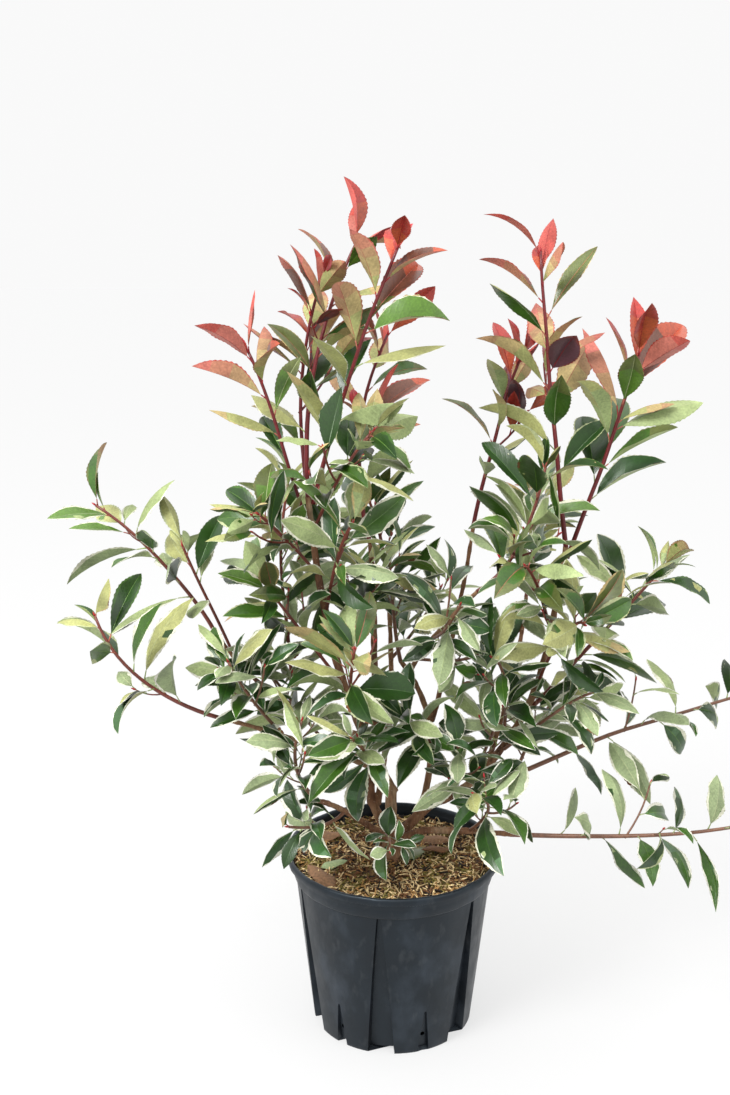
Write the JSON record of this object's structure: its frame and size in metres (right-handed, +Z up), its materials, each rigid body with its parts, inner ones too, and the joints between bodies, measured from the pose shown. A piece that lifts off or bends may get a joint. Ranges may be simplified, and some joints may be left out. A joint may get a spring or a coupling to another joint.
{
  "type": "variegated photinia shrub in a nursery pot",
  "caption": "Many-stemmed evergreen shrub with cream-edged leaves and red young tips, standing in a tapered black nursery pot.",
  "frame": {"origin": "centre of the pot's flat underside, on the surface that it stands on", "axes": "+Z up along the pot's axis, -Y towards the front of the picture, +X to its right"},
  "size_m": [0.904, 0.3859, 1.0008],
  "materials": {
    "pot_plastic": "worn satin black",
    "soil": "fibrous and mossy",
    "bark": "red-brown bark with raised pores",
    "leaves_top": "glossy young red and green leaves",
    "leaves_middle": "glossy green leaves with pale undersides",
    "leaves_low": "glossy green leaves with cream margins"
  },
  "bodies": {
    "root": {"pot": "pot_plastic", "soil": "soil", "trunk": "bark", "left_stem": "bark", "back_left_stem": "bark", "middle_stem": "bark", "right_stem": "bark", "middle_right_stem": "bark", "inner_right_stem": "bark", "right_low_stem": "bark", "right_lowest_stem": "bark", "left_arch_stem": "bark", "left_low_stem": "bark", "left_front_stem": "bark", "back_middle_stem": "bark", "back_right_stem": "bark", "left_top_middle": "leaves_top", "left_top_right": "leaves_top", "left_top_back": "leaves_top", "left_top_outer": "leaves_top", "back_left_top": "leaves_top", "left_inner_back": "leaves_middle", "right_top_middle": "leaves_top", "right_top_outer": "leaves_top", "inner_right_top": "leaves_top", "middle_right_top": "leaves_middle", "right_side": "leaves_middle", "left_arch_tip": "leaves_middle", "left_arch_side": "leaves_middle", "left_low_tip": "leaves_middle", "left_low_side": "leaves_low", "left_low_inner": "leaves_low", "left_front_tip": "leaves_low", "left_front_side": "leaves_low", "left_side_high": "leaves_middle", "left_side_low": "leaves_middle", "left_front_high": "leaves_middle", "left_front_middle": "leaves_middle", "left_front_low": "leaves_middle", "left_front_foot": "leaves_low", "middle_high": "leaves_middle", "middle_top": "leaves_low", "middle_front": "leaves_low", "middle_side": "leaves_low", "middle_low": "leaves_low", "right_front_high": "leaves_middle", "right_front_middle": "leaves_middle", "right_front_low": "leaves_low", "right_inner_low": "leaves_low", "right_inner_foot": "leaves_low", "right_side_low": "leaves_low", "right_low_tip": "leaves_low", "right_low_side": "leaves_low", "right_lowest_tip": "leaves_low", "right_lowest_side": "leaves_low", "front_foot": "leaves_low", "back_middle_top": "leaves_middle", "back_middle_side": "leaves_low", "back_left_side": "leaves_middle", "back_right_top": "leaves_middle"}
  },
  "joints": []
}
